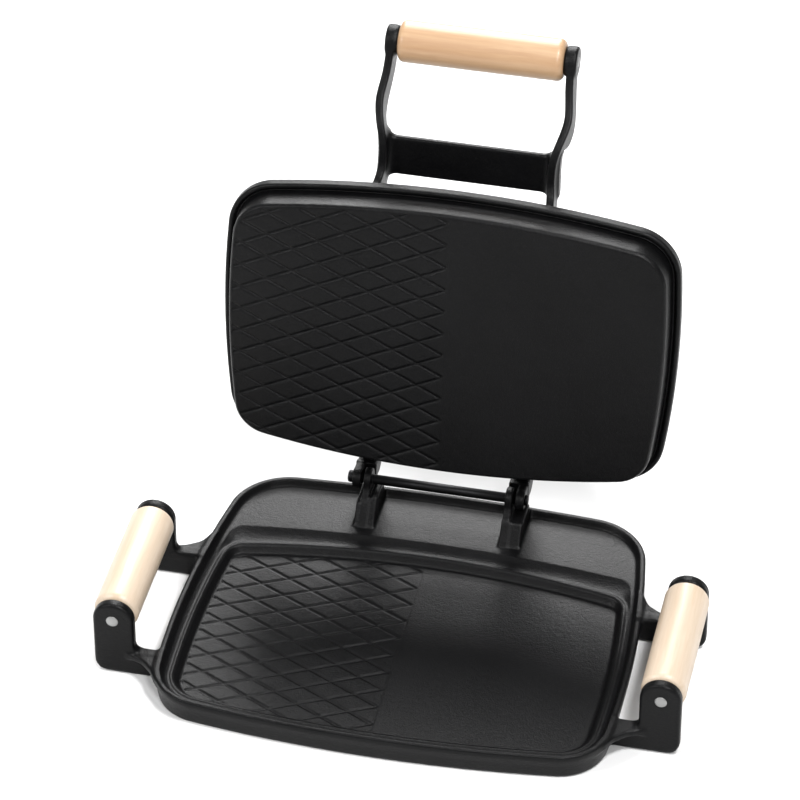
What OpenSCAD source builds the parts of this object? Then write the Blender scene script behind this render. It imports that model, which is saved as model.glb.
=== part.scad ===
// Hinged two-plate pie iron: a cast base pan and a cast lid plate on one long
// hinge rod, with three turned wood grips on steel rods.
// Origin: centre of the pan's flat underside. +Z up, +Y to the hinge, +X right.
// Drawn open, with the lid leaning back against its stop.

/* [Base pan] */
// Half depth of the pan, centre to the rear rim
pan_rear = 131; // [129:0.5:133]
// Half depth of the pan, centre to the front rim
pan_front = 131; // [130:0.5:133]
// Height of the pan's rim above the surface it stands on
pan_h = 20; // [19:0.5:22]
// Height of the rear ledge and of the shelf round the recess
ledge_z = 15; // [13.5:0.5:15]
// Height of the small ridge where the recess begins
ridge_z = 13; // [11:0.5:13]
// Height of the cooking floor
floor_z = 8.5; // [7:0.5:9.5]

/* [Lid plate] */
// Angle that the lid stands open at its stop, from closed
open_deg = 99; // [95:1:102]
// Distance from the hinge axis to the lid's near edge
lid_near = 20; // [20:0.5:22]
// Distance from the hinge axis to the lid's far edge
lid_far = 235; // [233:0.5:237]
// Height of the raised pressing face above the hinge axis plane
face_w = 24.3; // [22:0.1:24.4]
// Height of the lid's rim lip above the hinge axis plane
lip_w = 6.6; // [5.5:0.1:7.5]

/* [Hinge] */
// Height of the hinge axis above the table
axis_z = 40; // [39.5:0.5:44]
// Distance from the pan's centre back to the hinge axis
axis_y = 112; // [110:0.5:113]
// Distance from the centre plane to the middle of each post
hinge_x = 52.5; // [45:0.5:60]
// Width of each post below its ear
post_w = 15; // [14:0.5:18]
// Thickness of each post's ear
ear_t = 5.4; // [4.5:0.1:6]
// Diameter of the hinge rod
rod_d = 7; // [6:0.1:8]
// Thickness of each hinge lug of the lid
lug_w = 6.4; // [5:0.1:7]
// How much further out the left ear and lug stand than the right ones
pair_shift = 6.2; // [5:0.1:7]

/* [Side grips] */
// Distance from the centre plane to each side grip's axis
grip_x = 188.5; // [187:0.5:192]
// Height of the side grips' axis above the table
grip_z = 46; // [44:0.5:48]
// Length of a side grip between its two plates
grip_len = 101; // [96:1:104]
// Diameter of a side grip
grip_d = 31; // [28:0.5:31]
// Thickness of the plates that carry the side grips
plate_t = 8; // [6:0.5:9]

/* [Lid handle] */
// Diameter of the lid grip
lid_grip_d = 29.5; // [27:0.5:31]
// Length of the lid grip between the eyes of the two arms
lid_grip_len = 115.6; // [114:0.2:117]
// Thickness of each handle arm
arm_t = 5.6; // [5:0.2:6]
// Diameter of the steel rods through the grips
core_d = 6; // [5:0.5:7]

/* [Hidden] */
$fn = 64;
eps = 0.01;
grip_mid_y = -23.5;                // middle of the side grips along Y
ear_r = 8;                        // radius of the ears round the rod
ear_in = hinge_x - post_w / 2;    // inner face of the right ear; the left one is pair_shift further out
lug_gap = 1.9;                    // space between an ear and the lug outside it
pair_w = ear_t + lug_gap + lug_w; // over an ear and its lug
neck_w = pair_w + 0.9;            // width of the lid's swan necks
shoulder_z = 29.5;                // top of the posts beside their ears, under the lugs
head_len = 3.4;                   // thickness of the rod's head
grip_v = 307.6;                   // lid grip axis, distance from the hinge axis
grip_w = -72.8;                   // lid grip axis, offset to the lid's back
eye_in = lid_grip_len / 2;        // inner face of the eyes at the arms' tips
eye_out = eye_in + 8.5;           // outer face of the eyes

iron = [0.10, 0.10, 0.105];
steel = [0.72, 0.72, 0.70];
wood = [0.87, 0.70, 0.50];

// ---- outlines: rounded rectangles with bulged sides, made of tangent arcs ----
function arc(c, r, a0, a1, n, skip = 0) =
    [for (i = [skip:n]) let (a = a0 + (a1 - a0) * i / n) [c[0] + r * cos(a), c[1] + r * sin(a)]];
// rear corner centre (cx1, cy1) radius r1 and rear half depth b1, then the same
// for the front, and the radius R of the long side arcs; every value less inset d
function outline(cx1, cy1, r1, b1, cx2, cy2, r2, b2, R, d = 0, n = 8, m = 6) =
    let (k1 = (cx1 * cx1 + cy1 * cy1 - pow(b1 - r1, 2)) / (2 * (b1 - r1 - cy1)),
         k2 = (cx2 * cx2 + cy2 * cy2 - pow(b2 - r2, 2)) / (2 * (b2 - r2 - cy2)),
         ex = cx2 - cx1, ey = -cy2 - cy1, L = norm([ex, ey]),
         da = R - r1, db = R - r2,
         t = (da * da - db * db + L * L) / (2 * L), h = sqrt(da * da - t * t),
         C = [cx1 + ex / L * t + ey / L * h, cy1 + ey / L * t - ex / L * h],
         a1 = atan2(cy1 + k1, cx1), a2 = atan2(cy1 - C[1], cx1 - C[0]),
         a3 = atan2(-cy2 - C[1], cx2 - C[0]), a4 = atan2(-cy2 - k2, cx2),
         half = concat(arc([0, -k1], b1 + k1 - d, 90, a1, n),
                       arc([cx1, cy1], r1 - d, a1, a2, m, 1),
                       arc(C, R - d, a2, a3, n, 1),
                       arc([cx2, -cy2], r2 - d, a3, a4, m, 1),
                       arc([0, k2], b2 + k2 - d, a4, -90, n, 1)),
         q = len(half))
    concat(half, [for (i = [q - 2:-1:1]) [-half[i][0], half[i][1]]]);

function pan_out(d) = outline(105.6, 83.2, 44.2, pan_rear, 121, 86.3, 36.8, pan_front, 749, d);
function ledge_out(d) = outline(132, 60, 12, 80.8, 121, 86.3, 28.2, pan_front - 8.6, 735, d);
function ridge_out(d) = outline(127.8, 39.8, 13.2, 66.2, 121, 86.3, 23.2, pan_front - 13.6, 735, d);
lid_mid = (lid_near + lid_far) / 2;
lid_half = (lid_far - lid_near) / 2;
function lid_out(d) = outline(122, lid_half - 43, 32.5, lid_half, 122.5, lid_half - 44.5, 35.5, lid_half, 650, d);

function at_z(p, z) = [for (q = p) [q[0], q[1], z]];

// closed skin through a list of rings that all have the same number of points
module skin(rings, flip = false) {
    n = len(rings[0]);
    k = len(rings);
    pts = [for (r = rings) for (p = r) p];
    sides = [for (i = [0:k - 2]) for (j = [0:n - 1]) let (j2 = (j + 1) % n)
                [i * n + j, i * n + j2, (i + 1) * n + j2, (i + 1) * n + j]];
    first = [for (j = [n - 1:-1:0]) j];
    last = [for (j = [0:n - 1]) (k - 1) * n + j];
    f = concat([first], sides, [last]);
    polyhedron(pts, flip ? [for (a = f) [for (i = [len(a) - 1:-1:0]) a[i]]] : f);
}

// ---- base pan ----
module pan_body() {
    skin([at_z(pan_out(4.6), 0), at_z(pan_out(3.0), 0.9), at_z(pan_out(2.1), 3),
          at_z(pan_out(0.5), pan_h - 6), at_z(pan_out(0), pan_h - 3), at_z(pan_out(0.5), pan_h - 1.2),
          at_z(pan_out(1.6), pan_h - 0.3), at_z(pan_out(3.0), pan_h), at_z(pan_out(4.5), pan_h - 0.4),
          at_z(pan_out(5.7), pan_h - 1.6), at_z(pan_out(7.4), ledge_z + 0.5), at_z(pan_out(8.2), ledge_z),
          at_z(ledge_out(0), ledge_z), at_z(ridge_out(0), ridge_z), at_z(ridge_out(0.9), ridge_z - 0.8),
          at_z(ridge_out(2.6), floor_z + 1.2), at_z(ridge_out(4.2), floor_z)]);
}

// hollow under the rear ledge, open below, so that the wall stays even
module ledge_hollow() {
    translate([0, 0, -1]) linear_extrude(ledge_z - 5)
        intersection() {
            difference() { polygon(pan_out(9)); polygon(ridge_out(-3)); }
            translate([-124, 66]) square([248, 80]);
        }
}

// upright plate that carries one end of a side grip, with its web to the pan
module bracket(side, y) {
    translate([0, y, 0]) scale([side, 1, 1]) rotate([90, 0, 0]) translate([0, 0, -plate_t / 2])
        linear_extrude(plate_t) union() {
            translate([grip_x - 0.3, grip_z]) circle(r = 14);
            translate([grip_x - 14.3, 8]) square([28, grip_z - 8]);
            translate([grip_x - 0.3 + 6, 8]) circle(r = 8);
            translate([154.3, 0]) square([grip_x - 0.3 + 6 - 154.3, 19.4]);
            difference() {
                translate([grip_x - 14.3 - 6, 19]) square([6.5, 6.2]);
                translate([grip_x - 14.3 - 6.1, 25.5]) circle(r = 6.1);
            }
        }
}

function pair_at(s) = s > 0 ? ear_in : ear_in + pair_shift;   // inner face of an ear, from the centre plane

// slab of a post's side view, from x0 on
module post_slab(x0, w) {
    translate([x0, 0, 0]) rotate([90, 0, 90]) linear_extrude(w) union() {
        translate([axis_y, axis_z]) circle(r = ear_r);
        polygon([[axis_y - ear_r + 0.3, axis_z - 1.5], [88, ledge_z + 1], [86.5, ledge_z - 3],
                 [pan_rear - 4, ledge_z - 3], [pan_rear - 4.5, pan_h - 0.5],
                 [axis_y + 9.2, axis_z - 8.85], [axis_y + 7.4, axis_z - 7.25]]);
    }
}

// flange from the rim out to a bracket plate, seen from above; it ends inside the rim
module flange(side, y_rim, y_a, y_b, y_plate, y_in) {
    translate([0, 0, pan_h - 5.6]) linear_extrude(5) scale([side, 1]) difference() {
        polygon([[148, y_in], [148, y_rim + (y_rim > 0 ? 4 : -4)], [155.5, y_rim], [160, y_a], [168, y_b],
                 [179, y_plate], [179, y_in]]);
        polygon(pan_out(4.4));
    }
}

// post with one ear round the rod, cut down to a shoulder where the lid's lug swings
module post(s) {
    post_slab(s > 0 ? pair_at(s) : -pair_at(s) - ear_t, ear_t);
    intersection() {
        post_slab(s * hinge_x - post_w / 2, post_w);
        union() {
            translate([s * hinge_x - 20, 60, 0]) cube([40, 90, shoulder_z]);
            // the left post is left higher on its inner side
            if (s < 0) translate([-pair_at(s) - 1, 60, 0]) cube([20, 90, shoulder_z + 3.5]);
        }
    }
}

module base_pan() {
    color(iron) difference() {
        union() {
            difference() { pan_body(); ledge_hollow(); }
            for (s = [-1, 1]) {
                bracket(s, grip_mid_y - grip_len / 2 - plate_t / 2);
                bracket(s, grip_mid_y + grip_len / 2 + plate_t / 2);
            }
            for (s = [-1, 1]) {
                post(s);
                flange(s, -102, -94, -86.5, -82.2, -75);
                flange(s, 50.5, 43.8, 38.6, 35.2, 28);
            }
        }
        // bore for the hinge rod
        translate([-80, axis_y, axis_z]) rotate([0, 90, 0]) cylinder(d = rod_d + 0.1, h = 160);
        // bores for the side grips' rods
        for (s = [-1, 1]) translate([s * grip_x, 60, grip_z]) rotate([90, 0, 0]) cylinder(d = core_d + 0.1, h = 170);
    }
}

// ---- lid plate, drawn closed and then swung open ----
module lid_frame() { translate([0, axis_y, axis_z]) rotate([-open_deg, 0, 0]) children(); }
function lid_ring(d, w) = [for (q = lid_out(d)) [q[0], q[1] - lid_mid, -w]];

module lid_body() {
    skin([lid_ring(17.5, face_w - 6), lid_ring(15.4, face_w - 6.8), lid_ring(13.8, face_w - 9), lid_ring(12.4, 0),
          lid_ring(11.4, -2.4), lid_ring(9.4, -3.4), lid_ring(2.2, -3.4), lid_ring(0.8, -2.8),
          lid_ring(0, -1.2), lid_ring(0, lip_w - 2.2), lid_ring(0.7, lip_w - 0.7), lid_ring(2.2, lip_w),
          lid_ring(3.0, lip_w), lid_ring(4.0, lip_w - 0.8), lid_ring(4.6, lip_w - 3), lid_ring(5.2, lip_w - 3.4),
          lid_ring(6.3, lip_w - 2.6), lid_ring(7.2, face_w - 2.2), lid_ring(7.8, face_w - 0.7), lid_ring(9.3, face_w)],
         flip = true);
}

// handle arm: stations are [distance from the hinge, offset to the back, x of the middle]
arm_path = [[210.5, 20, 61.6], [210.5, -12, 61.3], [211.5, -21.5, 61], [214.2, -29, 60.4], [219.8, -35.4, 59.8],
            [228.2, -39.7, 59.1], [237, -41.1, 58.8], [245, -41.8, 59.1], [250.2, -42.5, 60], [253.9, -43.6, 61.4],
            [257.1, -45.4, 63], [260.9, -48.7, 64.5], [265.4, -53.1, 65.5], [270, -57.2, 65.7], [275.2, -60.9, 65.2],
            [281.4, -64.4, 64.4], [288.4, -67.3, 63.6], [297.5, -70.2, 63.1], [grip_v, grip_w, 63]];
function arm_half(i) = i < 13 ? 10.5 : 10.5 - (i - 12) * 0.13;
function arm_dir(i) = let (a = arm_path[max(i - 1, 0)], b = arm_path[min(i + 1, len(arm_path) - 1)],
                           d = [b[0] - a[0], b[1] - a[1]]) d / norm(d);
// one octagonal section across the arm, as [x, -v, -w]
function arm_ring(i, side) =
    let (p = arm_path[i], d = arm_dir(i), nv = [-d[1], d[0]], h = arm_half(i), t = arm_t / 2, c = 1,
         s = [[t, h - c], [t - c, h], [c - t, h], [-t, h - c], [-t, c - h], [c - t, -h], [t - c, -h], [t, c - h]],
         r = [for (q = s) [side * (p[2] + q[0]), -(p[0] + nv[0] * q[1]), -(p[1] + nv[1] * q[1])]])
    side > 0 ? r : [for (j = [len(r) - 1:-1:0]) r[j]];
module arm(side) {
    skin([for (i = [0:len(arm_path) - 1]) arm_ring(i, side)]);
    // thicker round eye at the tip, up to the wood
    translate([side * (eye_in + eye_out) / 2, -grip_v, -grip_w]) rotate([0, 90, 0])
        cylinder(r = 10, h = eye_out - eye_in, center = true);
}

// cross web between the two arms
module web() {
    translate([-58, -250, 40]) cube([116, 28.5, 5]);
}

// hinge lug: round eye outside the post's ear, and a swan neck from behind both up to
// the lid's back; open, the neck rests just above the ear's rear shoulder
module lug(s) {
    a = s * (pair_at(s) + pair_w - lug_w / 2);
    translate([a - lug_w / 2, 0, 0]) rotate([0, 90, 0]) cylinder(r = 7.4, h = lug_w);
    translate([a - lug_w / 2, -7.2, 0]) cube([lug_w, 13.2, 12]);
    translate([s * (pair_at(s) + pair_w / 2) - neck_w / 2, 0, 0]) rotate([90, 0, 90]) linear_extrude(neck_w)
        polygon([[6, 9], [6, 22], [2, 28.5], [-8, 31.5], [-20, 29.5], [-29, 23], [-34, 10], [-34, -2],
                 [-25, -2], [-24.5, 3], [-22, 14], [-18, 20], [-12, 22.3], [-9, 21], [-7.2, 18.5], [-7.2, 9]]);
}

module lid_plate() {
    color(iron) lid_frame() difference() {
        union() {
            lid_body();
            arm(1);
            arm(-1);
            web();
            lug(-1);
            lug(1);
        }
        // bore for the hinge rod
        translate([-80, 0, 0]) rotate([0, 90, 0]) cylinder(d = rod_d + 0.16, h = 160);
        // bore for the lid grip's rod
        translate([-80, -grip_v, -grip_w]) rotate([0, 90, 0]) cylinder(d = core_d + 0.1, h = 160);
    }
}

// ---- rods ----
// steel rod along +Z from z = 0 to len, with a low riveted head at each end
module riveted(len, d, hd, hh) {
    rotate_extrude() polygon([[0, -hh], [hd * 0.28, -hh * 0.92], [hd * 0.42, -hh * 0.6], [hd / 2, -0.25], [hd / 2, 0],
                              [d / 2, 0], [d / 2, len], [hd / 2, len], [hd / 2, len + 0.25],
                              [hd * 0.42, len + hh * 0.6], [hd * 0.28, len + hh * 0.92], [0, len + hh]]);
}

module hinge_rod() {
    l = -pair_at(-1) - pair_w - 0.3;
    r = pair_at(1) + pair_w + 0.3;
    color(steel) translate([l, axis_y, axis_z]) rotate([0, 90, 0]) union() {
        cylinder(d = rod_d, h = r - l);
        // forged head at the left, peened end at the right
        translate([0, 0, -head_len]) cylinder(d = rod_d + 1.6, h = head_len);
        translate([0, 0, r - l]) cylinder(d = rod_d + 1.2, h = 1.9);
    }
}

module side_grip_rod(side) {
    l = grip_len + 2 * plate_t;
    color(steel) translate([side * grip_x, grip_mid_y + l / 2, grip_z]) rotate([90, 0, 0]) riveted(l, core_d, 8.4, 1.2);
}
module left_grip_rod() { side_grip_rod(-1); }
module right_grip_rod() { side_grip_rod(1); }

module lid_grip_rod() {
    l = 2 * eye_out;
    color(steel) lid_frame() translate([-l / 2, -grip_v, -grip_w]) rotate([0, 90, 0]) riveted(l, core_d, 8.4, 1.2);
}

// ---- wood grips ----
// turned grip along +Z, with rounded ends and a drilled core
module turned(len, d) {
    r = d / 2;
    difference() {
        rotate_extrude() polygon([[0, 0], [r - 3, 0], [r - 1.5, 0.4], [r - 0.4, 1.5], [r, 3.2], [r, len - 3.2],
                                  [r - 0.4, len - 1.5], [r - 1.5, len - 0.4], [r - 3, len], [0, len]]);
        translate([0, 0, -1]) cylinder(d = core_d + 0.1, h = len + 2);
    }
}

module side_grip(side) {
    color(wood) translate([side * grip_x, grip_mid_y + grip_len / 2, grip_z]) rotate([90, 0, 0]) turned(grip_len, grip_d);
}
module left_grip() { side_grip(-1); }
module right_grip() { side_grip(1); }

module lid_grip() {
    color(wood) lid_frame() translate([-lid_grip_len / 2, -grip_v, -grip_w]) rotate([0, 90, 0])
        turned(lid_grip_len, lid_grip_d);
}

base_pan();
lid_plate();
hinge_rod();
left_grip();
right_grip();
lid_grip();
left_grip_rod();
right_grip_rod();
lid_grip_rod();
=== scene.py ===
import math
import bpy
import numpy as np
from mathutils import Matrix, Vector


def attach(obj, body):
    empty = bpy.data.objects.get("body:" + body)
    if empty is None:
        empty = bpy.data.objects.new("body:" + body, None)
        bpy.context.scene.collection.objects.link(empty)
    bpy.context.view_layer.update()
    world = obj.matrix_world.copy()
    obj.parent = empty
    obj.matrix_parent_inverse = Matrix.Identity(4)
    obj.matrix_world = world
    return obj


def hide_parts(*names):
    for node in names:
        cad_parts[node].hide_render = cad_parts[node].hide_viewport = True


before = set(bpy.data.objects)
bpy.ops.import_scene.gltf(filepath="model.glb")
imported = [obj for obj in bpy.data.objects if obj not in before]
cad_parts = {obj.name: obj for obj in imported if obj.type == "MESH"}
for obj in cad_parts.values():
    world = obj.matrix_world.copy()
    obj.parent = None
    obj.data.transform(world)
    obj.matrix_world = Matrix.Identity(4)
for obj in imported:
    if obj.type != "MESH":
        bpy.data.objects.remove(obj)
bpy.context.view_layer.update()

# All shapes are worked out in millimetres in the CAD's frame and written in metres.
# The two castings are made as one smooth distance field each, so that ribs, posts
# and plates run into the plates with the soft fillets of a real casting.


# ------------------------------------------------------------------ distance fields
def smin(a, b, k):
    h = np.maximum(k - np.abs(a - b), 0.0) / k
    return np.minimum(a, b) - h * h * k * 0.25


def smax(a, b, k):
    return -smin(-a, -b, k)


def step(a, b, x):
    t = np.clip((x - a) / (b - a), 0.0, 1.0)
    return t * t * (3.0 - 2.0 * t)


class Outline:
    """Rounded rectangle with bulged sides, made of tangent arcs, symmetric in x."""

    def __init__(self, cx1, cy1, r1, b1, cx2, cy2, r2, b2, R):
        k1 = (cx1 ** 2 + cy1 ** 2 - (b1 - r1) ** 2) / (2 * (b1 - r1 - cy1))
        k2 = (cx2 ** 2 + cy2 ** 2 - (b2 - r2) ** 2) / (2 * (b2 - r2 - cy2))
        ex, ey = cx2 - cx1, -cy2 - cy1
        L = math.hypot(ex, ey)
        da, db = R - r1, R - r2
        t = (da * da - db * db + L * L) / (2 * L)
        h = math.sqrt(da * da - t * t)
        C = (cx1 + ex / L * t + ey / L * h, cy1 + ey / L * t - ex / L * h)
        self.p = (cx1, cy1, r1, b1, cx2, cy2, r2, b2, R, k1, k2, C)

    def d(self, X, Y):
        cx1, cy1, r1, b1, cx2, cy2, r2, b2, R, k1, k2, C = self.p
        x = np.abs(X)
        big = np.maximum(np.maximum(np.hypot(x, Y + k1) - (b1 + k1), np.hypot(x, Y - k2) - (b2 + k2)),
                         np.hypot(x - C[0], Y - C[1]) - R)
        px, py = x - cx1, Y - cy1
        w1 = (cx1 * py - (cy1 + k1) * px <= 0) & ((cx1 - C[0]) * py - (cy1 - C[1]) * px >= 0)
        qx, qy = x - cx2, Y + cy2
        w2 = ((cx2 - C[0]) * qy - (-cy2 - C[1]) * qx <= 0) & (cx2 * qy + (cy2 + k2) * qx >= 0)
        return np.where(w1, np.hypot(px, py) - r1, np.where(w2, np.hypot(qx, qy) - r2, big))


def rounded(P, n=7):
    """Closed polygon [(x, y, radius), ...] with each corner turned into an arc."""
    out = []
    m = len(P)
    for i in range(m):
        a, b, c = np.array(P[i - 1][:2], float), np.array(P[i][:2], float), np.array(P[(i + 1) % m][:2], float)
        r = P[i][2] if len(P[i]) > 2 else 0
        u, v = a - b, c - b
        lu, lv = np.linalg.norm(u), np.linalg.norm(v)
        u, v = u / lu, v / lv
        ang = math.acos(float(np.clip(u @ v, -1, 1)))
        if r <= 0 or ang > 3.13:
            out.append(b)
            continue
        t = min(r / math.tan(ang / 2), 0.48 * lu, 0.48 * lv)
        r = t * math.tan(ang / 2)
        bis = (u + v) / np.linalg.norm(u + v)
        cen = b + bis * (r / math.sin(ang / 2))
        p0, p1 = b + u * t - cen, b + v * t - cen
        a0 = math.atan2(p0[1], p0[0])
        da = math.atan2(p0[0] * p1[1] - p0[1] * p1[0], p0 @ p1)
        for k in range(n + 1):
            f = a0 + da * k / n
            out.append(cen + r * np.array([math.cos(f), math.sin(f)]))
    return np.array(out)


def poly_distance(P, X, Y):
    P = np.asarray(P, float)
    d = np.full(X.shape, 1e18)
    s = np.ones(X.shape)
    for i in range(len(P)):
        a, b = P[i], P[i - 1]
        ex, ey = b - a
        if ex * ex + ey * ey < 1e-12:
            continue
        wx, wy = X - a[0], Y - a[1]
        t = np.clip((wx * ex + wy * ey) / (ex * ex + ey * ey), 0, 1)
        d = np.minimum(d, (wx - ex * t) ** 2 + (wy - ey * t) ** 2)
        c1, c2, c3 = Y >= a[1], Y < b[1], ex * wy > ey * wx
        flip = (c1 & c2 & c3) | (~c1 & ~c2 & ~c3)
        s = np.where(flip, -s, s)
    return s * np.sqrt(d)


class Table:
    """A 2-D field kept on a fine grid and read with linear steps."""

    def __init__(self, lo, hi, h, f):
        self.lo, self.h = np.array(lo, float), h
        self.n = [int(round((hi[i] - lo[i]) / h)) + 1 for i in (0, 1)]
        U, Z = np.meshgrid(lo[0] + h * np.arange(self.n[0]), lo[1] + h * np.arange(self.n[1]), indexing="ij")
        T = f(U, Z)
        self.T = [np.ascontiguousarray(t, np.float32) for t in (T if isinstance(T, (list, tuple)) else [T])]

    def __call__(self, U, Z, grow=True):
        u = (U - self.lo[0]) / self.h
        z = (Z - self.lo[1]) / self.h
        uc = np.clip(u, 0, self.n[0] - 1.001)
        zc = np.clip(z, 0, self.n[1] - 1.001)
        i, j = uc.astype(np.int32), zc.astype(np.int32)
        fu, fz = uc - i, zc - j
        out = []
        k = i * self.n[1] + j
        for T in self.T:
            t = T.ravel()
            out.append((t[k] * (1 - fz) + t[k + 1] * fz) * (1 - fu)
                       + (t[k + self.n[1]] * (1 - fz) + t[k + self.n[1] + 1] * fz) * fu)
        if grow:
            out[0] = out[0] + np.hypot(np.minimum(u, 0), z - zc) * self.h
        return out[0] if len(out) == 1 else out


def box2(dx, dy, r=0.0):
    """Distance to a box corner from the two half-size offsets, rounded by r."""
    a, b = dx + r, dy + r
    return np.minimum(np.maximum(a, b), 0) + np.hypot(np.maximum(a, 0), np.maximum(b, 0)) - r


def skin(f, lo, hi, h, block=16, reach=1.5, rounds=3):
    """Mesh of the surface f = 0 inside a box, as (points, quads): one point a cell,
    settled onto the surface along its slope."""
    lo = np.array(lo, float)
    n = np.ceil((np.array(hi, float) - lo) / h / block).astype(int) * block
    nb = n // block
    cx, cy, cz = [lo[i] + h * (block * (np.arange(nb[i]) + 0.5) - 0.5) for i in range(3)]
    G = np.stack(np.meshgrid(cx, cy, cz, indexing="ij"), -1).reshape(-1, 3)
    fc = f(G[:, 0], G[:, 1], G[:, 2])
    act = np.abs(fc) < reach * block * h * 0.87
    sign = np.where(fc < 0, -1, 1).astype(np.float32).reshape(nb)
    F = np.repeat(np.repeat(np.repeat(sign, block, 0), block, 1), block, 2)
    ids = np.flatnonzero(act)
    o = np.arange(block) * h
    OX, OY, OZ = np.meshgrid(o, o, o, indexing="ij")
    for s in range(0, len(ids), 48):
        part = ids[s:s + 48]
        bi, bj, bk = np.unravel_index(part, nb)
        X = (lo[0] + bi * block * h)[:, None, None, None] + OX
        Y = (lo[1] + bj * block * h)[:, None, None, None] + OY
        Z = (lo[2] + bk * block * h)[:, None, None, None] + OZ
        v = f(X.ravel(), Y.ravel(), Z.ravel()).reshape(X.shape).astype(np.float32)
        for q in range(len(part)):
            F[bi[q] * block:(bi[q] + 1) * block, bj[q] * block:(bj[q] + 1) * block,
              bk[q] * block:(bk[q] + 1) * block] = v[q]
    S = F < 0
    c = S.astype(np.uint8)
    tot = (c[:-1, :-1, :-1] + c[1:, :-1, :-1] + c[:-1, 1:, :-1] + c[1:, 1:, :-1]
           + c[:-1, :-1, 1:] + c[1:, :-1, 1:] + c[:-1, 1:, 1:] + c[1:, 1:, 1:])
    cells = np.argwhere((tot > 0) & (tot < 8))
    i, j, k = cells.T
    corner = {}
    for a in (0, 1):
        for b in (0, 1):
            for d in (0, 1):
                corner[a, b, d] = F[i + a, j + b, k + d]
    P = np.zeros((len(cells), 3))
    cnt = np.zeros(len(cells))
    for a, b in (((0, 0, 0), (1, 0, 0)), ((0, 1, 0), (1, 1, 0)), ((0, 0, 1), (1, 0, 1)), ((0, 1, 1), (1, 1, 1)),
                 ((0, 0, 0), (0, 1, 0)), ((1, 0, 0), (1, 1, 0)), ((0, 0, 1), (0, 1, 1)), ((1, 0, 1), (1, 1, 1)),
                 ((0, 0, 0), (0, 0, 1)), ((1, 0, 0), (1, 0, 1)), ((0, 1, 0), (0, 1, 1)), ((1, 1, 0), (1, 1, 1))):
        va, vb = corner[a], corner[b]
        m = (va < 0) != (vb < 0)
        t = np.where(m, va / np.where(m, va - vb, 1), 0)
        A, B = np.array(a, float), np.array(b, float)
        P += np.where(m[:, None], A + (B - A) * t[:, None], 0)
        cnt += m
    P = lo + (cells + P / cnt[:, None]) * h
    vid = np.full(tuple(n - 1), -1, np.int32)
    vid[i, j, k] = np.arange(len(cells))
    quads = []
    for ax in range(3):
        a, b = [(0, 1, 2), (1, 2, 0), (2, 0, 1)][ax][1:]
        sl0 = [slice(1, -1)] * 3
        sl0[ax] = slice(0, -1)
        sl1 = list(sl0)
        sl1[ax] = slice(1, None)
        s0, s1 = S[tuple(sl0)], S[tuple(sl1)]
        E = np.argwhere(s0 != s1)
        off = np.ones(3, int)
        off[ax] = 0
        E = E + off
        inside_first = S[E[:, 0], E[:, 1], E[:, 2]]
        da, db = np.zeros(3, int), np.zeros(3, int)
        da[a] = 1
        db[b] = 1
        q = np.stack([vid[tuple((E - da - db).T)], vid[tuple((E - db).T)], vid[tuple(E.T)], vid[tuple((E - da).T)]], 1)
        q[~inside_first] = q[~inside_first][:, ::-1]
        quads.append(q)
    Q = np.concatenate(quads)
    Q = Q[(Q >= 0).all(1)]
    e = 0.12
    for r in range(rounds):
        x, y, z = P.T
        v = f(x, y, z)
        g = np.stack([f(x + e, y, z) - f(x - e, y, z), f(x, y + e, z) - f(x, y - e, z),
                      f(x, y, z + e) - f(x, y, z - e)], 1) / (2 * e)
        g2 = np.maximum((g * g).sum(1), 0.15)
        mv = -g * (v / g2)[:, None]
        ln = np.linalg.norm(mv, axis=1)
        mv *= np.minimum(1, 0.6 * h / np.maximum(ln, 1e-9))[:, None]
        P = P + mv
    return P, Q


def new_object(name, P, faces, smooth=True):
    me = bpy.data.meshes.new(name)
    faces = np.asarray(faces)
    P = np.asarray(P, float) / 1000.0
    me.vertices.add(len(P))
    me.vertices.foreach_set("co", P.astype(np.float32).ravel())
    k = faces.shape[1]
    me.loops.add(faces.size)
    me.loops.foreach_set("vertex_index", faces.astype(np.int32).ravel())
    me.polygons.add(len(faces))
    me.polygons.foreach_set("loop_start", np.arange(len(faces), dtype=np.int32) * k)
    me.polygons.foreach_set("loop_total", np.full(len(faces), k, np.int32))
    me.update(calc_edges=True)
    me.validate()
    ob = bpy.data.objects.new(name, me)
    bpy.context.scene.collection.objects.link(ob)
    if smooth:
        me.polygons.foreach_set("use_smooth", np.ones(len(me.polygons), bool))
    return ob


# ------------------------------------------------------------------ shared sizes
AX_Y, AX_Z = 112.0, 40.0
HINGE_X = 52.5
OPEN = math.radians(99.0)
PAN = Outline(105.6, 83.2, 44.2, 131, 121, 86.3, 36.8, 131, 749)
LEDGE = Outline(132, 60, 12, 80.8, 121, 86.3, 28.2, 122.4, 735)
RIDGE = Outline(127.8, 39.8, 13.2, 66.2, 121, 86.3, 23.2, 117.4, 735)
LID = Outline(122, 64.5, 32.5, 107.5, 122.5, 63, 35.5, 107.5, 650)
LID_MID = 127.5
GRIP_V, GRIP_W = 307.6, -72.8


def grooves(x, y, x0, y0, sx, sy, half, depth):
    """Depth of the two crossing sets of V grooves of the diamond pattern."""
    a = (sy / 2) / sx
    c = math.cos(math.atan(a))
    out = None
    for s in (1, -1):
        t = (y - y0 - s * a * (x - x0)) / sy
        dist = np.abs(t - np.round(t)) * sy * c
        g = np.clip(1 - dist / half, 0, 1)
        g = depth * g * (1 - 0.25 * (1 - g))
        out = g if out is None else -smin(-out, -g, 0.25)
    return np.maximum(out, 0)


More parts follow.
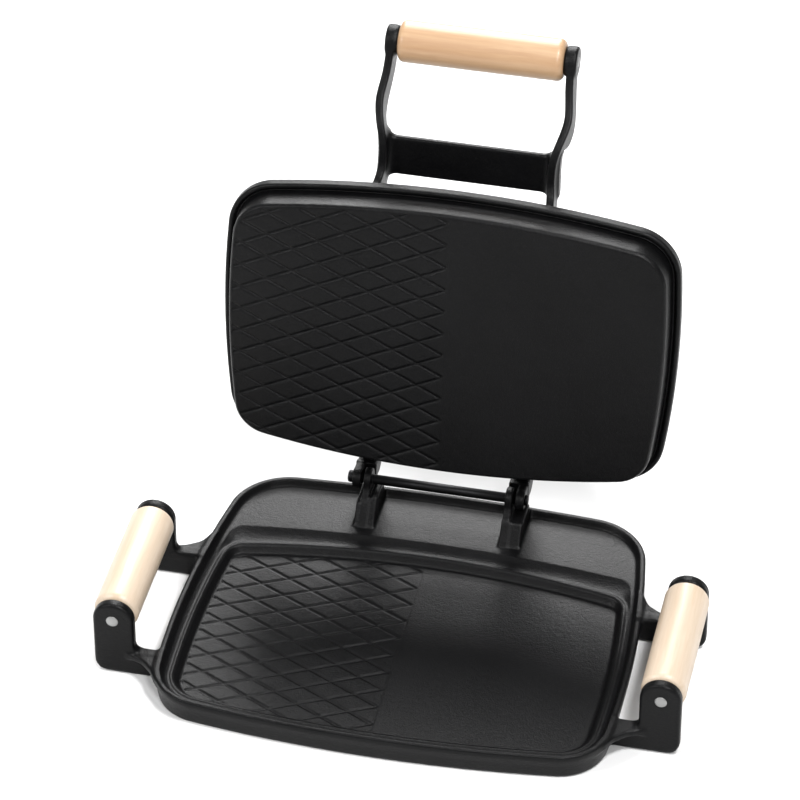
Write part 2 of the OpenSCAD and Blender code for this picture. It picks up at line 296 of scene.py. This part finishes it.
# ------------------------------------------------------------------ base casting
rim_poly = rounded([(2.9, -8), (2.6, 1.0), (1.1, 11, 12), (0.05, 16.2, 5), (0.1, 20.0, 1.5), (3.9, 20.0, 1.4),
                    (6.8, 14.8, 2), (12, 12.6), (12, -8)])
rim_tab = Table((-8, -9), (24, 26), 0.2, lambda U, Z: poly_distance(rim_poly, U, Z))
rec_poly = rounded([(-80, -30), (-80, 13), (0.1, 13, 1.3), (3.2, 8.9, 1.6), (5.2, 8.5, 2.0), (80, 8.5), (80, -30)])
rec_tab = Table((-30, -9), (30, 24), 0.2, lambda U, Z: poly_distance(rec_poly, U, Z))
post_poly = rounded([(104.6, 39.0), (88.3, 16.2, 2.0), (86.8, 10), (127.2, 10), (126.6, 19.5, 2), (121.2, 31.0, 1.5),
                     (119.3, 32.8)])
post_tab = Table((78, 0), (136, 56), 0.25, lambda U, Z: smin(np.hypot(U - AX_Y, Z - AX_Z) - 8.0,
                                                             poly_distance(post_poly, U, Z), 2.0))
arc = [(188.2 + 14.2 * math.cos(a), 46.0 + 14 * math.sin(a)) for a in np.linspace(0, math.pi, 40)]
br_poly = np.concatenate([rounded([(150, -0.4), (202.4, -0.4, 10.0), (202.4, 40)])[:-1],
                          np.array(arc), rounded([(174.0, 40), (174.0, 19.2, 6.5), (150, 19.2)])[1:]])
br_tab = Table((136, -10), (212, 66), 0.25, lambda U, Z: poly_distance(br_poly, U, Z))


fl_front = rounded([(150, -75), (150, -106), (155.5, -102, 5), (160, -94, 10), (168, -86.5, 12), (180, -81.9, 2),
                    (180, -75)])
fl_rear = rounded([(150, 28), (180, 28), (180, 34.8, 2), (168, 38.6, 12), (160, 43.8, 10), (155.5, 50.5, 5),
                   (150, 55)])
fl_tab = Table((140, -116), (190, 64), 0.5, lambda U, V: np.minimum(poly_distance(fl_front, U, V),
                                                                   poly_distance(fl_rear, U, V)))


def base_field(X, Y, Z):
    dP = PAN.d(X, Y)
    ins = -dP
    a = -LEDGE.d(X, Y)
    b = RIDGE.d(X, Y)
    t = np.where(b <= 0, 1.0, np.where(a <= 0, 0.0, a / np.maximum(a + b, 1e-6)))
    f = rim_tab(ins, Z)
    # dark valley between the shelf and the small bead round the recess
    rear = step(28, 58, Y)
    H = rear * (2.0 * (1 - t) ** 2.2 - 0.7 * np.sin(math.pi * t)) - (1 - rear) * 0.6 * step(2.0, 5.0, b)
    H = H + 1.1 * np.exp(-((b - 2.0) / 1.7) ** 2)
    top = rec_tab(-b, Z - H, grow=False)
    # the diamond pattern on the left half of the floor
    g = grooves(X, Y, -3.7, 20.8, 17.77, 17.8, 1.75, 0.95)
    g = g * step(4.8, 6.2, -b) * step(-2.6, -3.9, X)
    edge = 0.22 * np.clip(1 - np.abs(X + 2.6) / 1.0, 0, 1) * step(5.6, 8.0, -b)
    top = np.where(b < -4, np.maximum(top, Z - 8.5 + np.maximum(g, edge)), top)
    f = smin(f, np.maximum(top, 4.0 - ins), 1.8)
    # side plates with their webs
    ax = np.abs(X)
    br = br_tab(ax, Z)
    pl = None
    for yc in (-78.0, 31.0):
        q = smax(br, np.abs(Y - yc) - 3.95, 2.6)
        pl = q if pl is None else np.minimum(pl, q)
    fl = smax(fl_tab(ax, Y), np.abs(Z - 16.9) - 2.55, 1.8)
    f = smin(f, np.maximum(smin(pl, fl, 2.0), ins - 3.2), 3.0)
    # posts, each with one ear round the rod and a shoulder beside it
    e0 = np.where(X < 0, 51.2, 45.0)
    side = post_tab(Y, Z)
    ear = smax(side, np.abs(ax - e0 - 2.7) - 2.65, 1.3)
    sh = 29.5 + np.where(X < 0, 4.0 * (1 - step(48.5, 52.5, ax)), 0.0)
    po = smax(smax(side, np.abs(ax - HINGE_X) - 7.45, 1.8), Z - sh, 1.5)
    f = smin(f, smin(ear, po, 2.0), 2.2)
    f = np.maximum(f, -np.maximum(np.hypot(Y - AX_Y, Z - AX_Z) - 3.55, ax - 67))
    # hollow under the rear ledge
    ho = smax(smax(9.0 - ins, 3.0 - b, 4.0), smax(ax - 124, 66 - Y, 4.0), 4.0)
    ho = smax(ho, Z - 9.0, 3.0)
    f = smax(f, -ho, 1.0)
    return smax(f, -Z, 2.6)


# ------------------------------------------------------------------ lid casting
lid_poly = rounded([(80, 18.3), (17.6, 18.3, 3.0), (15.6, 16.8), (13.4, -1.6), (12.2, -3.35, 2.0), (1.9, -3.35, 1.6),
                    (0.05, -1.2, 1.6), (0.05, 5.0, 1.2), (1.0, 6.55, 1.2), (3.3, 6.55, 1.1), (4.5, 3.4, 0.9),
                    (6.0, 3.4, 0.9), (7.25, 22.2, 2.0), (8.8, 24.25, 1.8), (80, 24.25)])
lid_tab = Table((-8, -16), (26, 36), 0.2, lambda U, Z: poly_distance(lid_poly, U, Z))
neck_poly = rounded([(-6, -9.1), (-6, -22, 5), (-2, -28.5, 5), (8, -31.5, 6), (20, -29.5, 6), (29, -23, 6),
                     (34, -10, 6), (34, 2), (25, 2), (24.5, -3), (22, -14, 5), (18, -20, 3), (12, -22.3, 3),
                     (7.2, -20.5, 3), (7.2, -9.1)])
neck_tab = Table((-16, -40), (44, 12), 0.25, lambda U, Z: poly_distance(neck_poly, U, Z))
arm_pts = np.array([(210.5, 9, 61.6), (210.5, -2, 61.5), (210.5, -12, 61.3), (211.5, -21.5, 61), (214.2, -29, 60.4),
                    (219.8, -35.4, 59.8), (228.2, -39.7, 59.1), (237, -41.1, 58.8), (245, -41.8, 59.1),
                    (250.2, -42.5, 60), (253.9, -43.6, 61.4), (257.1, -45.4, 63), (260.9, -48.7, 64.5),
                    (265.4, -53.1, 65.5), (270, -57.2, 65.7), (275.2, -60.9, 65.2), (281.4, -64.4, 64.4),
                    (288.4, -67.3, 63.6), (297.5, -70.2, 63.1), (GRIP_V, GRIP_W, 63)])


def smooth_path(P, n):
    """Even points on a Catmull-Rom curve through P."""
    out = []
    for i in range(len(P) - 1):
        p0, p1, p2, p3 = P[max(i - 1, 0)], P[i], P[i + 1], P[min(i + 2, len(P) - 1)]
        for t in np.linspace(0, 1, 8, endpoint=False):
            out.append(0.5 * (2 * p1 + (p2 - p0) * t + (2 * p0 - 5 * p1 + 4 * p2 - p3) * t * t
                              + (3 * p1 - p0 - 3 * p2 + p3) * t ** 3))
    out.append(P[-1])
    out = np.array(out)
    for _ in range(6):
        out[1:-1] = out[1:-1] * 0.5 + (out[:-2] + out[2:]) * 0.25
    s = np.r_[0, np.cumsum(np.linalg.norm(np.diff(out, axis=0), axis=1))]
    u = np.linspace(0, s[-1], n)
    return np.stack([np.interp(u, s, out[:, k]) for k in range(out.shape[1])], 1)


arm = smooth_path(arm_pts, 110)


def arm_grid(V, W):
    """Signed offset from the arm's line, x of its middle and its half depth, over (v, w)."""
    best = np.full(V.shape, 1e18)
    q, xm, hd = np.zeros(V.shape), np.zeros(V.shape), np.zeros(V.shape)
    for i in range(len(arm) - 1):
        a, b = arm[i], arm[i + 1]
        ex, ey = b[0] - a[0], b[1] - a[1]
        wx, wy = V - a[0], W - a[1]
        t = np.clip((wx * ex + wy * ey) / (ex * ex + ey * ey), 0, 1)
        dx, dy = wx - ex * t, wy - ey * t
        d = dx * dx + dy * dy
        m = d < best
        best = np.where(m, d, best)
        q = np.where(m, np.sqrt(d), q)
        xm = np.where(m, a[2] + (b[2] - a[2]) * t, xm)
        u = (i + t) / (len(arm) - 1)
        hd = np.where(m, 10.5 - 0.9 * step(0.6, 1.0, u), hd)
    return [q - hd, xm]


arm_tab = Table((184, -96), (332, 32), 0.5, arm_grid)


def lid_field(X, V, W):
    dL = LID.d(X, LID_MID - V)
    ins = -dL
    f = lid_tab(ins, W)
    g = grooves(X, V, 0.0, 102.4, 18.0, 17.0, 1.75, 0.95)
    g = g * step(8.7, 10.5, ins) * step(0.2, -0.9, X)
    edge = 0.2 * np.clip(1 - np.abs(X - 0.2) / 1.0, 0, 1) * step(9.6, 11.6, ins)
    f = np.maximum(f, np.where(ins > 8.3, W - 24.25 + np.maximum(g, edge), -1e3))
    ax = np.abs(X)
    # swan necks, and the eyes outside the posts' ears
    e0 = np.where(X < 0, 51.2, 45.0)
    nk = smax(neck_tab(V, W), np.abs(ax - e0 - 6.85) - 7.25, 2.2)
    eye = np.hypot(V, W) - 7.4
    link = box2(np.abs(V - 0.6) - 6.6, np.abs(W + 6) - 6)
    lug = smax(np.minimum(eye, link), np.abs(ax - e0 - 10.5) - 3.15, 1.2)
    f = smin(f, nk, 3.0)
    f = smin(f, lug, np.where(W < -8, 2.0, 0.4))
    f = np.maximum(f, -(np.hypot(V, W) - 3.58))
    # handle arms, their eyes and the cross web
    q, xm = arm_tab(V, W, grow=False)
    ar = box2(q, np.abs(ax - xm) - 2.8, 1.3)
    eyes = smax(np.hypot(V - GRIP_V, W - GRIP_W) - 9.95, np.abs(ax - 62.1) - 4.2, 1.6)
    ar = smin(ar, eyes, 3.5)
    web = box2(np.abs(V - 235.8) - 14.2, np.abs(W + 42.5) - 2.5, 1.6)
    web = np.maximum(web, ax - 62)
    ar = smin(ar, web, 7.0)
    return smin(f, ar, 6.0)


def lid_to_row(P):
    c, s = math.cos(OPEN), math.sin(OPEN)
    out = P.copy()
    out[:, 1] = AX_Y - P[:, 1] * c - P[:, 2] * s
    out[:, 2] = AX_Z + P[:, 1] * s - P[:, 2] * c
    return out


h = 0.8
P, Q = skin(base_field, (-205, -133, -2), (205, 133, 63), h)
base_ob = new_object("base_casting", P, Q)
P, Q = skin(lid_field, (-163, -10, -86), (163, 320, 27), h)
lid_ob = new_object("lid_casting", lid_to_row(P), Q)


# ------------------------------------------------------------------ turned pieces
def lathe(name, prof, n, place, cap=True):
    """Turned piece: prof is [(radius, height)], closed on its axis. place maps local
    (x, y, z) rows to the row frame in mm."""
    prof = [(max(r, 0.0), z) for r, z in prof]
    ring = np.linspace(0, 2 * math.pi, n, endpoint=False)
    P, idx = [], []
    for r, z in prof:
        if r < 1e-6:
            idx.append([len(P)])
            P.append((0, 0, z))
        else:
            idx.append(list(range(len(P), len(P) + n)))
            P += [(r * math.cos(a), r * math.sin(a), z) for a in ring]
    F = []
    for a, b in zip(idx[:-1], idx[1:]):
        for i in range(n):
            j = (i + 1) % n
            if len(a) == 1:
                F.append((a[0], b[j], b[i]))
            elif len(b) == 1:
                F.append((a[i], a[j], b[0]))
            else:
                F.append((a[i], a[j], b[j], b[i]))
    P = place(np.array(P, float))
    me = bpy.data.meshes.new(name)
    me.from_pydata([tuple(p / 1000.0) for p in P], [], F)
    me.update()
    ob = bpy.data.objects.new(name, me)
    bpy.context.scene.collection.objects.link(ob)
    me.polygons.foreach_set("use_smooth", np.ones(len(me.polygons), bool))
    return ob


def along_y(x, y0, z):
    """Local +Z goes along -Y from y0."""
    def place(P):
        return np.stack([x + P[:, 0], y0 - P[:, 2], z + P[:, 1]], 1)
    return place


def along_x(x0, y, z):
    def place(P):
        return np.stack([x0 + P[:, 2], y + P[:, 0], z + P[:, 1]], 1)
    return place


def lid_axis(x0):
    c = lid_to_row(np.array([[0, GRIP_V, GRIP_W]]))[0]
    return along_x(x0, c[1], c[2])


def arc_prof(c, r, a0, a1, n):
    return [(c[0] + r * math.cos(math.radians(a0 + (a1 - a0) * i / n)),
             c[1] + r * math.sin(math.radians(a0 + (a1 - a0) * i / n))) for i in range(n + 1)]


def grip(name, length, d, place, seed):
    """Turned grip: rounded ends, a touch of swell, the small unevenness of a sanded turning."""
    R = d / 2
    e = 4.6
    rng = np.random.default_rng(seed)
    ph = rng.uniform(0, 6.28, 4)
    prof = [(3.05, 0.02), (3.6, 0.0)]
    prof += [(R - e + (x - (R - e)), z) for x, z in arc_prof((R - e, e), e, -90, 0, 10)]
    m = 60
    for i in range(1, m):
        z = e + (length - 2 * e) * i / m
        u = i / m
        prof.append((R - 0.05 + 0.05 * math.sin(ph[0] + 5 * u) * math.sin(math.pi * u), z))
    prof += arc_prof((R - e, length - e), e, 0, 90, 10)
    prof += [(3.6, length), (3.05, length - 0.02)]
    prof = [(3.05, 6.0)] + prof + [(3.05, length - 6.0)]
    return lathe(name, prof, 96, place)


def rivet(name, length, d, hd, hh, place):
    r = d / 2
    prof = [(0, -hh)] + [(hd / 2 * math.sin(a), -hh * math.cos(a) * 0.92 - hh * 0.08 * (a < 0.3))
                         for a in np.linspace(0.15, 1.35, 9)]
    prof += [(hd / 2, -0.18), (hd / 2, 0.0), (r, 0.02), (r, length - 0.02), (hd / 2, length), (hd / 2, length + 0.18)]
    prof += [(hd / 2 * math.sin(a), length + hh * math.cos(a) * 0.92 + hh * 0.08 * (a < 0.3))
             for a in np.linspace(1.35, 0.15, 9)] + [(0, length + hh)]
    return lathe(name, prof, 48, place)


left_grip = grip("left_wood", 101, 31, along_y(-188.5, 27, 46), 3)
right_grip = grip("right_wood", 101, 31, along_y(188.5, 27, 46), 5)
lid_grip = grip("lid_wood", 115.6, 29.5, lid_axis(-57.8), 9)
left_rod = rivet("left_rivet_rod", 117, 6, 8.4, 1.2, along_y(-188.5, 35, 46))
right_rod = rivet("right_rivet_rod", 117, 6, 8.4, 1.2, along_y(188.5, 35, 46))
lid_rod = rivet("lid_rivet_rod", 132.6, 6, 8.4, 1.2, lid_axis(-66.3))
prof = [(0, -3.4), (3.3, -3.4), (3.9, -3.1), (4.25, -2.5), (4.3, -0.3), (4.1, 0.0), (3.5, 0.0), (3.5, 124.2),
        (4.0, 124.25), (4.1, 124.8), (3.9, 125.5), (3.3, 126.0), (0, 126.1)]
hinge_rod = lathe("hinge_bar", prof, 64, along_x(-65.2, AX_Y, AX_Z))


# ------------------------------------------------------------------ materials
def mat(name):
    m = bpy.data.materials.new(name)
    m.use_nodes = True
    nt = m.node_tree
    nt.nodes.clear()
    out = nt.nodes.new("ShaderNodeOutputMaterial")
    bs = nt.nodes.new("ShaderNodeBsdfPrincipled")
    nt.links.new(bs.outputs[0], out.inputs[0])
    return m, nt, bs


def node(nt, kind, **kw):
    n = nt.nodes.new(kind)
    for k, v in kw.items():
        setattr(n, k, v)
    return n


def noise(nt, vec, scale, detail=2.0, rough=0.5, dist=0.0):
    n = node(nt, "ShaderNodeTexNoise")
    n.inputs["Scale"].default_value = scale
    n.inputs["Detail"].default_value = detail
    n.inputs["Roughness"].default_value = rough
    n.inputs["Distortion"].default_value = dist
    nt.links.new(vec, n.inputs["Vector"])
    return n.outputs["Fac"]


def ramp(nt, fac, stops):
    r = node(nt, "ShaderNodeValToRGB")
    el = r.color_ramp.elements
    while len(el) < len(stops):
        el.new(0.5)
    for e, (p, c) in zip(el, stops):
        e.position = p
        e.color = (c[0], c[1], c[2], 1) if isinstance(c, (tuple, list)) else (c, c, c, 1)
    nt.links.new(fac, r.inputs["Fac"])
    return r.outputs["Color"]


def mixc(nt, fac, a, b, mode="MIX"):
    n = node(nt, "ShaderNodeMix", data_type="RGBA", blend_type=mode)
    for s, v in ((n.inputs[0], fac), (n.inputs[6], a), (n.inputs[7], b)):
        if isinstance(v, (int, float)):
            s.default_value = v
        elif isinstance(v, tuple):
            s.default_value = (v[0], v[1], v[2], 1)
        else:
            nt.links.new(v, s)
    return n.outputs[2]


def mth(nt, op, a, b=0.0):
    n = node(nt, "ShaderNodeMath", operation=op)
    for s, v in ((n.inputs[0], a), (n.inputs[1], b)):
        if isinstance(v, (int, float)):
            s.default_value = v
        else:
            nt.links.new(v, s)
    return n.outputs[0]


def bump(nt, height, strength, dist, normal=None):
    n = node(nt, "ShaderNodeBump")
    n.inputs["Strength"].default_value = strength
    n.inputs["Distance"].default_value = dist
    nt.links.new(height, n.inputs["Height"])
    if normal is not None:
        nt.links.new(normal, n.inputs["Normal"])
    return n.outputs[0]


def cast_iron():
    m, nt, bs = mat("cast_iron_black")
    co = node(nt, "ShaderNodeTexCoord").outputs["Object"]
    fine = noise(nt, co, 1150, 3, 0.6)
    mid = noise(nt, co, 320, 3, 0.55)
    big = noise(nt, co, 14, 3, 0.55)
    col = ramp(nt, big, [(0.3, (0.0014, 0.0014, 0.0016)), (0.7, (0.0030, 0.0030, 0.0033))])
    col = mixc(nt, mth(nt, "MULTIPLY", ramp(nt, fine, [(0.48, 0.0), (0.72, 1.0)]), 0.30), col, (0.014, 0.014, 0.014))
    nt.links.new(col, bs.inputs["Base Color"])
    ro = mth(nt, "ADD", mth(nt, "MULTIPLY", mid, 0.14), mth(nt, "MULTIPLY", big, 0.10))
    nt.links.new(mth(nt, "ADD", ro, 0.23), bs.inputs["Roughness"])
    bs.inputs["Metallic"].default_value = 0.0
    bs.inputs["Specular IOR Level"].default_value = 0.125
    b1 = bump(nt, fine, 0.55, 0.0004)
    b2 = bump(nt, noise(nt, co, 620, 2, 0.6), 0.3, 0.0005, b1)
    b3 = bump(nt, mid, 0.3, 0.0005, b2)
    nt.links.new(b3, bs.inputs["Normal"])
    return m


def wood(name, axis, tint, seed):
    m, nt, bs = mat(name)
    co = node(nt, "ShaderNodeTexCoord").outputs["Object"]
    mp = node(nt, "ShaderNodeMapping")
    nt.links.new(co, mp.inputs["Vector"])
    mp.inputs["Location"].default_value = (seed * 0.37, seed * 0.21, seed * 0.53)
    sc = [1.0, 1.0, 1.0]
    sc[axis] = 0.085
    mp.inputs["Scale"].default_value = sc
    v = mp.outputs[0]
    grain = noise(nt, v, 95, 5, 0.55, 0.6)
    fibre = noise(nt, v, 620, 4, 0.6)
    mott = noise(nt, co, 26, 2, 0.5)
    c = ramp(nt, grain, [(0.30, tint[0]), (0.52, tint[1]), (0.74, tint[2])])
    c = mixc(nt, mth(nt, "MULTIPLY", ramp(nt, fibre, [(0.40, 0.0), (0.66, 1.0)]), 0.22), c, tint[3])
    c = mixc(nt, mth(nt, "MULTIPLY", mott, 0.18), c, tint[2])
    nt.links.new(c, bs.inputs["Base Color"])
    nt.links.new(mth(nt, "ADD", mth(nt, "MULTIPLY", fibre, 0.15), 0.36), bs.inputs["Roughness"])
    bs.inputs["Coat Weight"].default_value = 0.18
    bs.inputs["Coat Roughness"].default_value = 0.28
    b1 = bump(nt, fibre, 0.16, 0.00025)
    nt.links.new(b1, bs.inputs["Normal"])
    return m


def steel(name, base, rough, scale=900):
    m, nt, bs = mat(name)
    co = node(nt, "ShaderNodeTexCoord").outputs["Object"]
    n1 = noise(nt, co, scale, 3, 0.6)
    n2 = noise(nt, co, 60, 2, 0.5)
    c = ramp(nt, n2, [(0.3, tuple(x * 0.8 for x in base)), (0.7, base)])
    nt.links.new(c, bs.inputs["Base Color"])
    bs.inputs["Metallic"].default_value = 1.0
    nt.links.new(mth(nt, "ADD", mth(nt, "MULTIPLY", n1, 0.2), rough), bs.inputs["Roughness"])
    nt.links.new(bump(nt, n1, 0.15, 0.0002), bs.inputs["Normal"])
    return m


iron_m = cast_iron()
side_wood = [(0.51, 0.42, 0.33), (0.48, 0.39, 0.30), (0.43, 0.325, 0.225), (0.37, 0.26, 0.165)]
lid_wood = [(0.42, 0.28, 0.165), (0.385, 0.245, 0.137), (0.305, 0.175, 0.090), (0.235, 0.125, 0.060)]
wood_y = wood("beech_left", 1, side_wood, 1)
wood_y2 = wood("beech_right", 1, side_wood, 2)
wood_x = wood("beech_lid", 0, lid_wood, 3)
bright = steel("rivet_steel", (0.34, 0.34, 0.335), 0.36)
dark = steel("rod_dark_steel", (0.020, 0.020, 0.021), 0.38)

for ob, m, body, nodes, slot in (
        (base_ob, iron_m, "base", ["base_pan"], "cast_iron"),
        (lid_ob, iron_m, "lid", ["lid_plate"], "cast_iron"),
        (left_grip, wood_y, "base", ["left_grip"], "wood"),
        (right_grip, wood_y2, "base", ["right_grip"], "wood"),
        (lid_grip, wood_x, "lid", ["lid_grip"], "wood"),
        (left_rod, bright, "base", ["left_grip_rod"], "steel"),
        (right_rod, bright, "base", ["right_grip_rod"], "steel"),
        (lid_rod, bright, "lid", ["lid_grip_rod"], "steel"),
        (hinge_rod, dark, "base", ["hinge_rod"], "dark_steel")):
    ob.data.materials.append(m)
    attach(ob, body)
    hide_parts(*nodes)

# ------------------------------------------------------------------ stage, light, camera
fm, nt, bs = mat("pale_floor")
fn = noise(nt, node(nt, "ShaderNodeTexCoord").outputs["Object"], 3.0, 2)
nt.links.new(ramp(nt, fn, [(0.2, 0.64), (0.8, 0.68)]), bs.inputs["Base Color"])
bs.inputs["Roughness"].default_value = 0.85
me = bpy.data.meshes.new("floor")
me.from_pydata([(-8, -6, -0.0002), (8, -6, -0.0002), (8, 10, -0.0002), (-8, 10, -0.0002)], [], [(0, 1, 2, 3)])
floor = bpy.data.objects.new("floor", me)
floor.data.materials.append(fm)
bpy.context.scene.collection.objects.link(floor)

world = bpy.data.worlds.new("studio")
bpy.context.scene.world = world
world.use_nodes = True
bg = world.node_tree.nodes["Background"]
bg.inputs["Color"].default_value = (1, 1, 1, 1)
bg.inputs["Strength"].default_value = 0.40


def area(name, loc, target, size, power, size_y=None):
    li = bpy.data.lights.new(name, "AREA")
    li.energy = power
    li.size = size
    if size_y:
        li.shape = "RECTANGLE"
        li.size_y = size_y
    ob = bpy.data.objects.new(name, li)
    ob.location = loc
    d = Vector(target) - Vector(loc)
    ob.rotation_mode = "QUATERNION"
    ob.rotation_quaternion = d.to_track_quat("-Z", "Y")
    bpy.context.scene.collection.objects.link(ob)
    return ob


area("rear_soft", (-0.45, 2.5, 1.45), (0, 0.05, 0.02), 1.2, 72, 1.0)
area("over_soft", (-0.45, 1.9, 2.7), (0, 0, 0.02), 1.0, 60)
area("left_key", (-1.75, -1.35, 1.75), (0, 0.1, 0.12), 0.5, 42)
area("front_key", (0.95, -2.0, 2.2), (0, 0.05, 0.1), 0.5, 44)
area("top_key", (0.9, -0.6, 2.7), (0, 0, 0.02), 0.45, 74)

cam = bpy.data.cameras.new("photo_camera")
cam.sensor_width = 36
cam.lens = 197.9
cam.clip_start = 0.1
cam.clip_end = 50
co = bpy.data.objects.new("photo_camera", cam)
R = Matrix(((0.9764, -0.1337, 0.1694), (0.2158, 0.6049, -0.7665), (0.0, 0.7850, 0.6195))).to_4x4()
q = R.to_quaternion()
q.normalize()
co.rotation_mode = "QUATERNION"
co.rotation_quaternion = q
co.location = (0.4870, -2.2338, 2.0104)
bpy.context.scene.collection.objects.link(co)
bpy.context.scene.camera = co

bpy.context.scene.view_settings.view_transform = "Standard"
bpy.context.scene.view_settings.look = "None"
